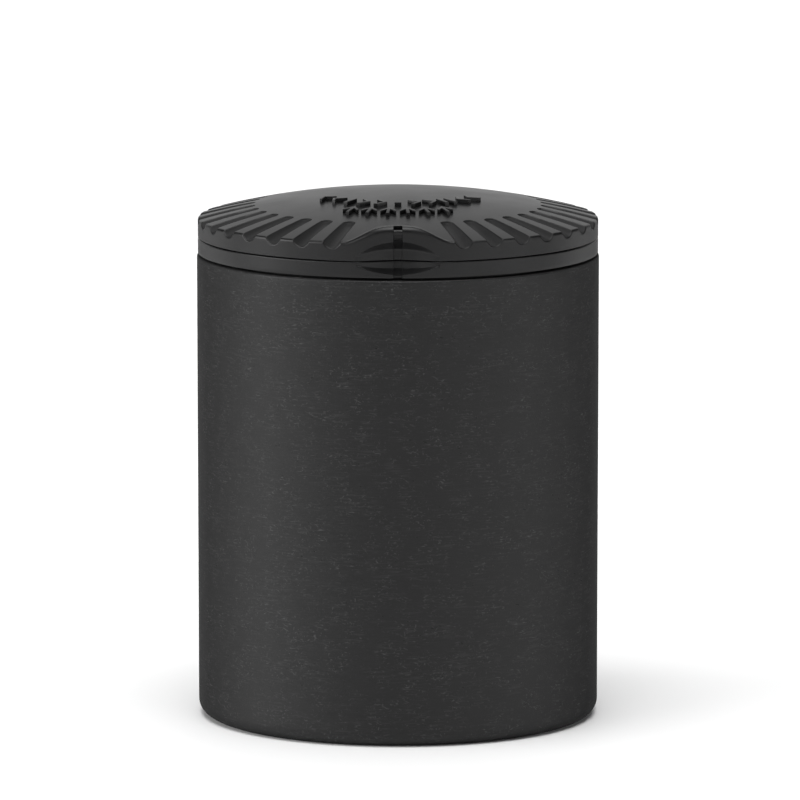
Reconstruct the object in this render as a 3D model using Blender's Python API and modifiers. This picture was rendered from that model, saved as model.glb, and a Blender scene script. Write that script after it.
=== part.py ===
"""Child-resistant storage canister: a jar, its lock collar, a twist-align-lift cap and two seals.

Metres, +Z up. The origin is the middle of the face it stands on, and the thumb scoop faces -Y.
The cap's plug sits in the collar's mouth. A lug on the plug passes the collar's bead only at the
bead's gap, so the cap turns freely and lifts off only where the two marks line up.
"""
import math

import bmesh
import bpy
from mathutils import Matrix

MM = 0.001

# Jar, and the sizes every piece shares
BODY_RADIUS = 30.0 * MM
BODY_DRAFT = 0.1 * MM
BODY_TOP = 69.3 * MM
JAR_WALL = 2.6 * MM
FLOOR_TOP = 3.0 * MM
FLOOR_CORNER = 2.0 * MM
FLOOR_CORNER_STEPS = 4
FOOT_FILLET = 2.2 * MM
FOOT_FILLET_STEPS = 5
FOOT_INNER_RADIUS = 24.2 * MM
FOOT_RECESS = 0.8 * MM
REBATE_RADIUS = 28.3 * MM
LEDGE_HEIGHT = 62.0 * MM
EDGE_BREAK = 0.3 * MM
FINE_BREAK = 0.2 * MM
FIT_GAP = 0.3 * MM
CUT_MARGIN = 1.0 * MM

# Lock collar
LID_RADIUS = 29.86 * MM
COLLAR_BOTTOM = 69.7 * MM
COLLAR_TOP = 72.0 * MM
SPIGOT_RADIUS = REBATE_RADIUS - FIT_GAP
SPIGOT_BOTTOM = 62.35 * MM
MOUTH_RADIUS = 25.4 * MM
BEAD_RADIUS = 24.5 * MM
BEAD_BOTTOM = 69.0 * MM
BEAD_TOP = 70.9 * MM
BEAD_LOWER_RAMP = 0.4 * MM
BEAD_UPPER_RAMP = 0.8 * MM
BEAD_GAP_HALF = 2.8 * MM
BEAD_GAP_FLOOR = 25.6 * MM
SNAP_HEIGHT = 65.1 * MM
SNAP_DEPTH = 0.4 * MM
SNAP_HALF = 0.7 * MM
SNAP_PLAY = 0.2 * MM
SEAL_GROOVE_DEPTH = 1.0 * MM
SEAL_GROOVE_BOTTOM = 66.5 * MM
SEAL_GROOVE_TOP = 68.4 * MM
KEY_COUNT = 4
FIRST_KEY = math.radians(45.0)
KEY_HALF_WIDTH = 1.6 * MM
KEY_DEPTH = 1.95 * MM
KEY_ROOT = 0.8 * MM
KEY_INNER = 26.5 * MM
KEY_OUTER = 27.7 * MM
KEY_GAP = 0.4 * MM

# Cap
CAP_BOTTOM = 72.25 * MM
CAP_EDGE = 74.94 * MM
DOME_RADIUS = 114.0 * MM
DOME_APEX = 78.84 * MM
DOME_WALL = 2.0 * MM
DOME_CORNER = 0.9 * MM
DOME_SHARES = (0.0, 0.2, 0.4, 0.6, 0.8)
UNDERSIDE_SHARES = (0.96, 0.64, 0.32, 0.0)
POCKET_RADIUS = 27.0 * MM
POCKET_TOP = 73.7 * MM
PLUG_RADIUS = 24.1 * MM
PLUG_WALL = 1.6 * MM
PLUG_BOTTOM = 65.9 * MM
RIB_RADIUS = 24.7 * MM
RIB_TOP = 72.0 * MM
RIB_BOTTOM = 71.3 * MM
RIB_UPPER_RAMP = 0.15 * MM
RIB_LOWER_RAMP = 0.3 * MM
LUG_HALF_WIDTH = 2.0 * MM
LUG_REACH = 24.95 * MM
LUG_BOTTOM = 67.4 * MM
LUG_TOP = 68.6 * MM

# Grip grooves: 38 places round the lid, of which the three at the brow are left out. The nose
# gives a groove's round inner end as distances outwards and shares of the full radius.
GROOVE_PITCH = math.tau / 38
FIRST_GROOVE = 2
LAST_GROOVE = 36
GROOVE_INNER = 22.2 * MM
GROOVE_OUTER = 31.5 * MM
GROOVE_INNER_RADIUS = 1.08 * MM
GROOVE_OUTER_RADIUS = 1.62 * MM
GROOVE_DEPTH = 0.9 * MM
GROOVE_NOSE = ((0.0, 0.45), (0.25 * MM, 0.78), (0.6 * MM, 0.95), (1.1 * MM, 1.0))

# Brow, thumb scoop and alignment mark, all at the front
BROW_HEIGHT = 77.4 * MM
BROW_FOOT = 74.5 * MM
BROW_ROOT = 74.0 * MM
BROW_HALF_WIDTH = 6.5 * MM
BROW_POWER = 3.1
BROW_STEPS = 16
BROW_REACH = 9.6 * MM
BROW_INNER = 16.0 * MM
BROW_RADIUS = LID_RADIUS - 0.06 * MM
SCOOP_HALF_WIDTH = 6.0 * MM
SCOOP_TOP = 75.07 * MM
SCOOP_TOP_END = 73.2 * MM
SCOOP_BOTTOM = 70.3 * MM
SCOOP_BOTTOM_END = 71.5 * MM
SCOOP_DEPTH = 2.1 * MM
SCOOP_CUT = 8.0 * MM
SCOOP_STEPS = 10
TRIM_HEIGHT = 20.0 * MM
MARK_HALF_WIDTH = 0.675 * MM
MARK_DEPTH = 0.65 * MM
MARK_NOTCH = 1.5 * MM

# Seals
LID_SEAL_INNER = 24.45 * MM
LID_SEAL_OUTER = 26.65 * MM
LID_SEAL_BOTTOM = 72.3 * MM
LID_SEAL_TOP = 73.4 * MM
COLLAR_SEAL_HALF_WIDTH = 0.35 * MM
COLLAR_SEAL_HALF_HEIGHT = 0.65 * MM

# Looks: colour and roughness
COMPOSITE_LOOK = ((0.036, 0.036, 0.037), 0.62)
PLASTIC_LOOK = ((0.03, 0.03, 0.031), 0.38)
RUBBER_LOOK = ((0.055, 0.055, 0.057), 0.7)

# Fineness
JAR_STEPS = 48
CAP_STEPS = 72
SEAL_STEPS = 48
MERGE = 0.00001


def clear_scene():
    for item in list(bpy.data.objects):
        bpy.data.objects.remove(item, do_unlink=True)


def new_collection(name):
    collection = bpy.data.collections.new(name)
    bpy.context.scene.collection.children.link(collection)
    return collection


def new_material(name, look):
    colour, roughness = look
    material = bpy.data.materials.new(name)
    material.use_nodes = True
    shader = material.node_tree.nodes["Principled BSDF"]
    shader.inputs["Base Color"].default_value = (*colour, 1.0)
    shader.inputs["Roughness"].default_value = roughness
    return material


def new_object(name, data, collection, material=None):
    item = bpy.data.objects.new(name, data)
    collection.objects.link(item)
    if material:
        item.data.materials.append(material)
    return item


def make_cutter(item):
    item.hide_render = True
    item.display_type = "WIRE"
    return item


def arc(centre, radius, start, end, count):
    """Points of an arc in (radius, height), from start to end in degrees."""
    points = []
    for index in range(count + 1):
        angle = math.radians(start + (end - start) * index / count)
        points.append((centre[0] + radius * math.cos(angle), centre[1] + radius * math.sin(angle)))
    return points


def bow(half_width, end_height, middle_height, count):
    """Points of a circular arc over the width, from -half_width to +half_width."""
    rise = middle_height - end_height
    radius = (half_width ** 2 + rise ** 2) / (2 * rise)
    points = []
    for index in range(count + 1):
        across = half_width * (2 * index / count - 1)
        drop = abs(radius) - math.sqrt(radius ** 2 - across ** 2)
        points.append((across, middle_height - math.copysign(drop, rise)))
    return points


def dome_height(distance, wall=0.0):
    """Height of the dome at a distance from the axis, or of its underside a wall below."""
    centre = DOME_APEX - DOME_RADIUS
    return centre + math.sqrt((DOME_RADIUS - wall) ** 2 - distance ** 2)


def turned(name, profile, steps, collection, material=None, closed=True):
    """A turned body. The profile lies at +X and runs down its outer side."""
    mesh = bpy.data.meshes.new(name)
    count = len(profile)
    edges = [(index, index + 1) for index in range(count - 1)]
    if closed:
        edges.append((count - 1, 0))
    mesh.from_pydata([(x, 0.0, z) for x, z in profile], edges, [])
    item = new_object(name, mesh, collection, material)
    screw = item.modifiers.new("Turn", "SCREW")
    screw.axis = "Z"
    screw.angle = math.tau
    screw.steps = steps
    screw.render_steps = steps
    screw.use_merge_vertices = True
    screw.merge_threshold = MERGE
    screw.use_smooth_shade = True
    return item


def boolean(item, other, operation):
    modifier = item.modifiers.new(other.name, "BOOLEAN")
    modifier.operation = operation
    modifier.solver = "EXACT"
    modifier.object = other


def boxes(name, size, centre, cutters, turns=(0.0,)):
    """One cutter of separate boxes of one size: a box at the centre, at each turn about Z."""
    bm = bmesh.new()
    for turn in turns:
        place = Matrix.Rotation(turn, 4, "Z") @ Matrix.Translation(centre)
        bmesh.ops.create_cube(bm, size=1.0, matrix=place @ Matrix.Diagonal((*size, 1.0)))
    mesh = bpy.data.meshes.new(name)
    bm.to_mesh(mesh)
    bm.free()
    return make_cutter(new_object(name, mesh, cutters))


def solid_from_curve(name, curve, place, cutters):
    """The closed mesh of a filled or bevelled curve, welded and moved to its place."""
    guide = bpy.data.objects.new(name + "_curve", curve)
    bpy.context.scene.collection.objects.link(guide)
    guide.matrix_world = place
    bpy.context.view_layer.update()
    evaluated = guide.evaluated_get(bpy.context.evaluated_depsgraph_get())
    mesh = bpy.data.meshes.new_from_object(evaluated)
    mesh.name = name
    matrix = guide.matrix_world.copy()
    bpy.data.objects.remove(guide, do_unlink=True)
    bm = bmesh.new()
    bm.from_mesh(mesh)
    bmesh.ops.remove_doubles(bm, verts=bm.verts, dist=MERGE)
    bm.to_mesh(mesh)
    bm.free()
    item = new_object(name, mesh, cutters)
    item.matrix_world = matrix
    return make_cutter(item)


def extruded(name, outline, place, depth, cutters):
    """A flat outline filled and extruded by half its depth to each side of its plane."""
    curve = bpy.data.curves.new(name, "CURVE")
    curve.dimensions = "2D"
    curve.fill_mode = "BOTH"
    curve.extrude = depth / 2
    spline = curve.splines.new("POLY")
    spline.points.add(len(outline) - 1)
    for point, (across, height) in zip(spline.points, outline):
        point.co = (across, height, 0.0, 1.0)
    spline.use_cyclic_u = True
    return solid_from_curve(name, curve, place, cutters)


def front_plane(distance):
    """Stands a flat outline upright across X, at a distance in front of the axis."""
    return Matrix.Translation((0.0, -distance, 0.0)) @ Matrix.Rotation(math.pi / 2, 4, "X")


def jar_profile():
    inner = BODY_RADIUS - JAR_WALL
    groove = REBATE_RADIUS + SNAP_DEPTH
    foot = BODY_RADIUS - BODY_DRAFT
    corner = (inner - FLOOR_CORNER, FLOOR_TOP + FLOOR_CORNER)
    points = [(0.0, FLOOR_TOP)]
    points += arc(corner, FLOOR_CORNER, -90, 0, FLOOR_CORNER_STEPS)
    points += [(inner, LEDGE_HEIGHT), (REBATE_RADIUS, LEDGE_HEIGHT)]
    points += [(REBATE_RADIUS, SNAP_HEIGHT - SNAP_HALF), (groove, SNAP_HEIGHT - SNAP_HALF / 2)]
    points += [(groove, SNAP_HEIGHT + SNAP_HALF / 2), (REBATE_RADIUS, SNAP_HEIGHT + SNAP_HALF)]
    points += [(REBATE_RADIUS, BODY_TOP - EDGE_BREAK), (REBATE_RADIUS + EDGE_BREAK, BODY_TOP)]
    points += [(BODY_RADIUS - EDGE_BREAK, BODY_TOP), (BODY_RADIUS, BODY_TOP - EDGE_BREAK)]
    points += arc((foot - FOOT_FILLET, FOOT_FILLET), FOOT_FILLET, 0, -90, FOOT_FILLET_STEPS)
    points += [(FOOT_INNER_RADIUS, 0.0), (FOOT_INNER_RADIUS - FOOT_RECESS, FOOT_RECESS)]
    points.append((0.0, FOOT_RECESS))
    return points


def collar_profile():
    snap = SPIGOT_RADIUS + SNAP_DEPTH
    snap_half = SNAP_HALF - SNAP_PLAY
    groove = SPIGOT_RADIUS - SEAL_GROOVE_DEPTH
    points = [(MOUTH_RADIUS + FINE_BREAK, COLLAR_TOP)]
    points += [(LID_RADIUS - EDGE_BREAK, COLLAR_TOP), (LID_RADIUS, COLLAR_TOP - EDGE_BREAK)]
    points += [(LID_RADIUS, COLLAR_BOTTOM + EDGE_BREAK), (LID_RADIUS - EDGE_BREAK, COLLAR_BOTTOM)]
    points += [(SPIGOT_RADIUS, COLLAR_BOTTOM), (SPIGOT_RADIUS, SEAL_GROOVE_TOP)]
    points += [(groove, SEAL_GROOVE_TOP), (groove, SEAL_GROOVE_BOTTOM)]
    points += [(SPIGOT_RADIUS, SEAL_GROOVE_BOTTOM), (SPIGOT_RADIUS, SNAP_HEIGHT + snap_half)]
    points += [(snap, SNAP_HEIGHT + snap_half / 2), (snap, SNAP_HEIGHT - snap_half / 2)]
    points += [(SPIGOT_RADIUS, SNAP_HEIGHT - snap_half), (SPIGOT_RADIUS, SPIGOT_BOTTOM + EDGE_BREAK)]
    points += [(SPIGOT_RADIUS - EDGE_BREAK, SPIGOT_BOTTOM), (MOUTH_RADIUS + EDGE_BREAK, SPIGOT_BOTTOM)]
    points += [(MOUTH_RADIUS, SPIGOT_BOTTOM + EDGE_BREAK), (MOUTH_RADIUS, BEAD_BOTTOM)]
    points += [(BEAD_RADIUS, BEAD_BOTTOM + BEAD_LOWER_RAMP), (BEAD_RADIUS, BEAD_TOP - BEAD_UPPER_RAMP)]
    points += [(MOUTH_RADIUS, BEAD_TOP), (MOUTH_RADIUS, COLLAR_TOP - FINE_BREAK)]
    return points


def cap_profile():
    edge = LID_RADIUS - EDGE_BREAK
    inner = PLUG_RADIUS - PLUG_WALL
    points = [(edge * share, dome_height(edge * share)) for share in DOME_SHARES]
    points += [(edge, CAP_EDGE), (LID_RADIUS, CAP_EDGE - EDGE_BREAK)]
    points += [(LID_RADIUS, CAP_BOTTOM + FINE_BREAK), (LID_RADIUS - FINE_BREAK, CAP_BOTTOM)]
    points += [(POCKET_RADIUS, CAP_BOTTOM), (POCKET_RADIUS, POCKET_TOP)]
    points += [(PLUG_RADIUS, POCKET_TOP), (PLUG_RADIUS, RIB_TOP)]
    points += [(RIB_RADIUS, RIB_TOP - RIB_UPPER_RAMP), (RIB_RADIUS, RIB_BOTTOM + RIB_LOWER_RAMP)]
    points += [(PLUG_RADIUS, RIB_BOTTOM), (PLUG_RADIUS, PLUG_BOTTOM + EDGE_BREAK)]
    points += [(PLUG_RADIUS - EDGE_BREAK, PLUG_BOTTOM), (inner + EDGE_BREAK, PLUG_BOTTOM)]
    points += [(inner, PLUG_BOTTOM + EDGE_BREAK), (inner, dome_height(inner, DOME_WALL) - DOME_CORNER)]
    for share in UNDERSIDE_SHARES:
        points.append((inner * share, dome_height(inner * share, DOME_WALL)))
    return points


def seal_profile(inner, outer, bottom, top):
    return [
        (inner + FINE_BREAK, top), (outer - FINE_BREAK, top),
        (outer, top - FINE_BREAK), (outer, bottom + FINE_BREAK),
        (outer - FINE_BREAK, bottom), (inner + FINE_BREAK, bottom),
        (inner, bottom + FINE_BREAK), (inner, top - FINE_BREAK),
    ]


def groove_cutter(cutters):
    """A tapered round bar with a round inner end, lying along the dome, at each groove's angle."""
    curve = bpy.data.curves.new("groove", "CURVE")
    curve.dimensions = "3D"
    curve.bevel_depth = 1.0
    curve.bevel_resolution = 3
    curve.use_fill_caps = True
    spline = curve.splines.new("POLY")
    spline.points.add(len(GROOVE_NOSE))
    places = [(GROOVE_INNER + along, GROOVE_INNER_RADIUS * share) for along, share in GROOVE_NOSE]
    places.append((GROOVE_OUTER, GROOVE_OUTER_RADIUS))
    for point, (distance, radius) in zip(spline.points, places):
        full = GROOVE_INNER_RADIUS + (GROOVE_OUTER_RADIUS - GROOVE_INNER_RADIUS) * (
            (distance - GROOVE_INNER) / (GROOVE_OUTER - GROOVE_INNER))
        point.co = (0.0, -distance, dome_height(distance) + full - GROOVE_DEPTH, 1.0)
        point.radius = radius
    bar = solid_from_curve("groove_bar", curve, Matrix.Identity(4), cutters)
    bm = bmesh.new()
    for index in range(FIRST_GROOVE, LAST_GROOVE + 1):
        copy = bar.data.copy()
        copy.transform(Matrix.Rotation(index * GROOVE_PITCH, 4, "Z"))
        bm.from_mesh(copy)
        bpy.data.meshes.remove(copy)
    bpy.data.objects.remove(bar, do_unlink=True)
    mesh = bpy.data.meshes.new("grip_grooves")
    bm.to_mesh(mesh)
    bm.free()
    return make_cutter(new_object("grip_grooves", mesh, cutters))


def brow_solid(cutters):
    """The raised brow: a bell outline run back into the dome, trimmed to the lid's round side."""
    outline = [(BROW_REACH, BROW_ROOT), (-BROW_REACH, BROW_ROOT)]
    for index in range(BROW_STEPS + 1):
        across = BROW_REACH * (2 * index / BROW_STEPS - 1)
        bell = math.exp(-(abs(across) / BROW_HALF_WIDTH) ** BROW_POWER)
        outline.append((across, BROW_FOOT + (BROW_HEIGHT - BROW_FOOT) * bell))
    depth = LID_RADIUS + CUT_MARGIN - BROW_INNER
    brow = extruded("brow", outline, front_plane(BROW_INNER + depth / 2), depth, cutters)
    boolean(brow, cylinder("brow_trim", BROW_RADIUS, 0.0, CAP_STEPS, cutters), "INTERSECT")
    return brow


def cylinder(name, radius, y, segments, cutters):
    """A tall upright cylinder round the lid's height, to trim another solid with."""
    bm = bmesh.new()
    middle = (COLLAR_BOTTOM + BROW_HEIGHT) / 2
    place = Matrix.Translation((0.0, y, middle))
    bmesh.ops.create_cone(bm, cap_ends=True, segments=segments, radius1=radius, radius2=radius,
                          depth=TRIM_HEIGHT, matrix=place)
    mesh = bpy.data.meshes.new(name)
    bm.to_mesh(mesh)
    bm.free()
    return make_cutter(new_object(name, mesh, cutters))


def scoop_cutter(cutters):
    """The thumb scoop: a lens outline whose hollow back is an upright round surface."""
    upper = bow(SCOOP_HALF_WIDTH, SCOOP_TOP_END, SCOOP_TOP, SCOOP_STEPS)
    lower = bow(SCOOP_HALF_WIDTH, SCOOP_BOTTOM_END, SCOOP_BOTTOM, SCOOP_STEPS)
    outline = upper + lower[::-1]
    scoop = extruded("thumb_scoop", outline, front_plane(LID_RADIUS), SCOOP_CUT, cutters)
    back = LID_RADIUS - SCOOP_DEPTH
    side = math.sqrt(LID_RADIUS ** 2 - SCOOP_HALF_WIDTH ** 2)
    rise = side - back
    radius = (SCOOP_HALF_WIDTH ** 2 + rise ** 2) / (2 * rise)
    trim = cylinder("scoop_trim", radius, -(back + radius), CAP_STEPS, cutters)
    boolean(scoop, trim, "INTERSECT")
    return scoop


def mark_cutter(cutters):
    """The alignment mark: a groove down the front, with a notch over the brow's top edge."""
    face = LID_RADIUS - MARK_DEPTH
    notch = LID_RADIUS - MARK_NOTCH
    front = LID_RADIUS + CUT_MARGIN
    low = COLLAR_BOTTOM - CUT_MARGIN
    high = BROW_HEIGHT + CUT_MARGIN
    floor = BROW_HEIGHT - MARK_DEPTH
    outline = [(-front, low), (-face, low), (-face, floor), (-notch, floor), (-notch, high),
               (-front, high)]
    place = Matrix.Rotation(math.pi / 2, 4, "Z") @ Matrix.Rotation(math.pi / 2, 4, "X")
    return extruded("alignment_mark", outline, place, 2 * MARK_HALF_WIDTH, cutters)


def key_boxes(name, inner, outer, half_width, bottom, top, cutters):
    """A box at each of the collar's keys, between two distances from the axis."""
    turns = [FIRST_KEY + index * math.tau / KEY_COUNT for index in range(KEY_COUNT)]
    size = (outer - inner, 2 * half_width, top - bottom)
    centre = ((outer + inner) / 2, 0.0, (top + bottom) / 2)
    return boxes(name, size, centre, cutters, turns)


def front_box(name, half_width, inner, outer, bottom, top, cutters):
    """A box at the front, between two distances from the axis."""
    size = (2 * half_width, outer - inner, top - bottom)
    return boxes(name, size, (0.0, -(outer + inner) / 2, (top + bottom) / 2), cutters)


def make_jar(parts, cutters):
    material = new_material("flecked_composite", COMPOSITE_LOOK)
    item = turned("jar_shell", jar_profile(), JAR_STEPS, parts, material, closed=False)
    inner = BODY_RADIUS - JAR_WALL - CUT_MARGIN
    notches = key_boxes("key_notches", inner, KEY_OUTER + KEY_GAP, KEY_HALF_WIDTH + KEY_GAP,
                        SPIGOT_BOTTOM - KEY_DEPTH - KEY_GAP, LEDGE_HEIGHT + CUT_MARGIN, cutters)
    boolean(item, notches, "DIFFERENCE")


def make_collar(parts, cutters, scoop, mark):
    material = new_material("collar_plastic", PLASTIC_LOOK)
    item = turned("lock_collar", collar_profile(), JAR_STEPS, parts, material)
    tabs = key_boxes("key_tabs", KEY_INNER, KEY_OUTER, KEY_HALF_WIDTH,
                     SPIGOT_BOTTOM - KEY_DEPTH, SPIGOT_BOTTOM + KEY_ROOT, cutters)
    boolean(item, tabs, "UNION")
    gap = front_box("bead_gap", BEAD_GAP_HALF, BEAD_RADIUS - CUT_MARGIN, BEAD_GAP_FLOOR,
                    BEAD_BOTTOM - FIT_GAP, BEAD_TOP + FIT_GAP, cutters)
    boolean(item, gap, "DIFFERENCE")
    boolean(item, scoop, "DIFFERENCE")
    boolean(item, mark, "DIFFERENCE")


def make_cap(parts, cutters, scoop, mark):
    material = new_material("cap_plastic", PLASTIC_LOOK)
    item = turned("cap", cap_profile(), CAP_STEPS, parts, material, closed=False)
    boolean(item, groove_cutter(cutters), "DIFFERENCE")
    boolean(item, brow_solid(cutters), "UNION")
    boolean(item, scoop, "DIFFERENCE")
    boolean(item, mark, "DIFFERENCE")
    lug = front_box("locking_lug", LUG_HALF_WIDTH, PLUG_RADIUS - PLUG_WALL / 2, LUG_REACH,
                    LUG_BOTTOM, LUG_TOP, cutters)
    boolean(item, lug, "UNION")


def make_seals(parts):
    rubber = new_material("seal_rubber", RUBBER_LOOK)
    lid_profile = seal_profile(LID_SEAL_INNER, LID_SEAL_OUTER, LID_SEAL_BOTTOM, LID_SEAL_TOP)
    turned("lid_seal", lid_profile, SEAL_STEPS, parts, rubber)
    inner = SPIGOT_RADIUS - 2 * COLLAR_SEAL_HALF_WIDTH
    middle = (SEAL_GROOVE_BOTTOM + SEAL_GROOVE_TOP) / 2
    ring_profile = seal_profile(inner, SPIGOT_RADIUS, middle - COLLAR_SEAL_HALF_HEIGHT,
                                middle + COLLAR_SEAL_HALF_HEIGHT)
    turned("collar_seal", ring_profile, SEAL_STEPS, parts, rubber)


def main():
    clear_scene()
    parts = new_collection("storage_canister")
    cutters = new_collection("cutters")
    scoop = scoop_cutter(cutters)
    mark = mark_cutter(cutters)
    make_jar(parts, cutters)
    make_collar(parts, cutters, scoop, mark)
    make_cap(parts, cutters, scoop, mark)
    make_seals(parts)


main()
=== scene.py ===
import math

import bmesh
import bpy
import numpy as np
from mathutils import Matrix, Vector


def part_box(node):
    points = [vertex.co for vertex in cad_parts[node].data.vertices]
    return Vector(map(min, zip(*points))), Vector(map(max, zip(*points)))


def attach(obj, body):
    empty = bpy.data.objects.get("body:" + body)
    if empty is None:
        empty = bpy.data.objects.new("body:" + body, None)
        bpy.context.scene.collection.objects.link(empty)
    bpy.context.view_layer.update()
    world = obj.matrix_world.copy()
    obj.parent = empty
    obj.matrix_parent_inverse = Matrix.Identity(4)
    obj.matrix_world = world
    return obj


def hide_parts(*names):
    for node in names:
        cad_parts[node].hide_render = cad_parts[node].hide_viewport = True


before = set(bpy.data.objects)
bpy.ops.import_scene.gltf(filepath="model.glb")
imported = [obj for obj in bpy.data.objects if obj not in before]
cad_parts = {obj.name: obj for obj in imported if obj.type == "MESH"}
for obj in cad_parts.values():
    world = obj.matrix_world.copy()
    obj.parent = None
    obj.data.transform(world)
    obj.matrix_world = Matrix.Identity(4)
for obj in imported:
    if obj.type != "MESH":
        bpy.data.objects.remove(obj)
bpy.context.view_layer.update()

# The looks of a child-resistant storage canister. Metres, +Z up, the front faces -Y.
# Angles are measured from the front towards +X, so a point is (r sin a, -r cos a, z).
MM = 0.001

# Sizes read from the frame
JAR_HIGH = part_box("jar_shell")[1]
CAP_LOW, CAP_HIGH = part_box("cap")
SEAL_LOW, SEAL_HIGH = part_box("lid_seal")
BODY_RADIUS = JAR_HIGH.x
BODY_TOP = JAR_HIGH.z
LID_RADIUS = CAP_HIGH.x
DOME_APEX = CAP_HIGH.z
PLUG_BOTTOM = CAP_LOW.z
SEAM_GAP = 0.13 * MM

# Jar, as in the CAD
BODY_DRAFT = 0.1 * MM
JAR_WALL = 2.6 * MM
FLOOR_TOP = 3.0 * MM
FLOOR_CORNER = 2.0 * MM
FOOT_FILLET = 2.2 * MM
FOOT_INNER_RADIUS = 24.2 * MM
FOOT_RECESS = 0.8 * MM
REBATE_RADIUS = 28.3 * MM
LEDGE_HEIGHT = 62.0 * MM
RIM_ROUND = 0.3 * MM
INNER_RIM_ROUND = 0.12 * MM
FLOOR_CORNER_STEPS = 10
FOOT_STEPS = 14
FOOT_INNER_ROUND = 0.3 * MM
JAR_COLUMNS = 288

# Lock collar, as in the CAD, with its top a hair lower
COLLAR_TOP = 71.99 * MM
COLLAR_BOTTOM = 69.7 * MM
SPIGOT_RADIUS = 28.0 * MM
SPIGOT_BOTTOM = 62.35 * MM
MOUTH_RADIUS = 25.4 * MM
BEAD_RADIUS = 24.5 * MM
BEAD_BOTTOM = 69.0 * MM
BEAD_HEIGHT = 1.9 * MM
BEAD_GAP_HALF = 2.8 * MM
SNAP_HEIGHT = 65.1 * MM
SNAP_DEPTH = 0.4 * MM
SNAP_HALF = 0.7 * MM
SNAP_PLAY = 0.2 * MM
SEAL_GROOVE_DEPTH = 1.0 * MM
SEAL_GROOVE_BOTTOM = 66.5 * MM
SEAL_GROOVE_TOP = 68.4 * MM

# Cap, as in the CAD
CAP_BOTTOM = COLLAR_TOP + SEAM_GAP
DOME_RADIUS = 114.0 * MM
DOME_WALL = 2.0 * MM
POCKET_RADIUS = 27.0 * MM
POCKET_TOP = 73.7 * MM
PLUG_RADIUS = 24.1 * MM
PLUG_WALL = 1.6 * MM
RIB_RADIUS = 24.7 * MM
RIB_HEIGHT = 71.7 * MM
LUG_REACH = 24.95 * MM
LUG_HALF_WIDTH = 2.0 * MM
LUG_BOTTOM = 67.4 * MM
LUG_TOP = 68.6 * MM

# Seals
LID_SEAL_WIDTH = 2.2 * MM
COLLAR_SEAL_HALF_WIDTH = 0.35 * MM
SEAL_COLUMNS = 240

# Fine shape of the lid. Rows are in millimetres from the axis, and between the two bends they
# follow the grooves' round ends. A groove's columns are in degrees from its middle.
DOME_ROWS = (3, 6, 9, 12, 14, 16, 17.5, 18.6, 19.4, 20.1, 20.7, 21.05)
GROOVE_END_ROWS = (21.17, 21.25, 21.3, 21.33, 21.37, 21.42, 21.48, 21.56, 21.66, 21.77, 21.9, 22.1)
GROOVE_ROWS = (22.5, 23.2, 24.0, 24.8, 25.6, 26.4, 27.1, 27.7, 28.1, 28.32)
GROOVE_COLUMNS = (0.7, 1.3, 1.75, 2.1, 2.33, 2.48, 2.6, 2.7, 2.8, 2.95, 3.25, 3.9)
ROWS_BEND_OUT = (18.0, 20.9)
ROWS_BEND_BACK = (22.2, 27.4)
FRONT_HALF_ANGLE = 60.0
FAR_AWAY = 1.0
EDGE_ROUND = 0.3 * MM
EDGE_STRETCH = 0.6
BROW_EDGE_ROUND = 0.85 * MM
SEAM_ROUND = 0.06 * MM
COLLAR_ROUND = 0.2 * MM
GROOVE_PITCH = 360.0 / 38
GROOVE_NUMBERS = range(2, 37)
GROOVE_START = 21.3 * MM
GROOVE_HALF_WIDTH = 0.95 * MM
GROOVE_WIDENING = 0.05
GROOVE_POWER = 2.2
GROOVE_DEPTH = 0.43 * MM
GROOVE_FULL_DEPTH = 1.0 * MM
GROOVE_LIP = 0.07 * MM
GROOVE_END_LENGTH = 0.45 * MM
GROOVE_END_CURVE = 0.8
GROOVE_END_BLEND = 0.12 * MM
GROOVE_END_DROP = 0.02 * MM
GROOVE_REACH = 1.4
GROOVE_DEEPENING = 0.07
GROOVE_FLOOR_FROM = 0.1 * MM
GROOVE_EDGE_ROUND = 0.14 * MM
BROW_CREST = 77.38 * MM
BROW_FOOT = 74.5 * MM
BROW_HALF_WIDTH = 6.3 * MM
BROW_POWER = 3.1
BROW_FALL = 0.09
BROW_BLEND = 0.12 * MM
SCOOP_HALF_WIDTH = 6.25 * MM
SCOOP_TOP = 75.05 * MM
SCOOP_TOP_END = 72.75 * MM
SCOOP_BOTTOM = 70.22 * MM
SCOOP_BOTTOM_END = 71.5 * MM
SCOOP_DEPTH = 2.1 * MM
SCOOP_POWER = 1.4
SCOOP_ARCH = 0.5 * MM
SCOOP_ARCH_DROP = 1.15 * MM
SCOOP_SAG = 0.25 * MM
SCOOP_SAG_RISE = 0.5 * MM
HOLLOW_CREST = 0.325
HOLLOW_SLANT = 1.85
ROW_APART = 0.012 * MM
MARK_DEPTH = 0.7 * MM
MARK_BRIDGE_DEPTH = 0.15 * MM
MARK_BRIDGE_SHARE = 0.36
MARK_SCOOP_DEPTH = 0.3 * MM
MARK_BRIDGE_EDGE = 0.25 * MM
NOTCH_LENGTH = 1.5 * MM
NOTCH_DROP = 0.57 * MM
NOTCH_UNDERCUT = 0.3 * MM
NOTCH_STEP = 0.01 * MM
SLOPE_STEP = 0.02 * MM
LEAN_LIMITS = (-0.2, 0.5)
MARK_INSIDE = 1.24
MARK_OUTSIDE = 1.32

# Raised pictograms
PICTO_RISE = 0.62 * MM
PICTO_SINK = 0.25 * MM
PICTO_CLEAR = 0.02 * MM
PICTO_ROUND = 0.07 * MM
PICTO_STROKE = 0.52 * MM
UPPER_ROW = 12.6 * MM
LOWER_ROW = 17.3 * MM
LIFT_ARROW_TURNS = (-23.5, -14.1, -4.7, 4.7, 14.1, 23.5)

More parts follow.
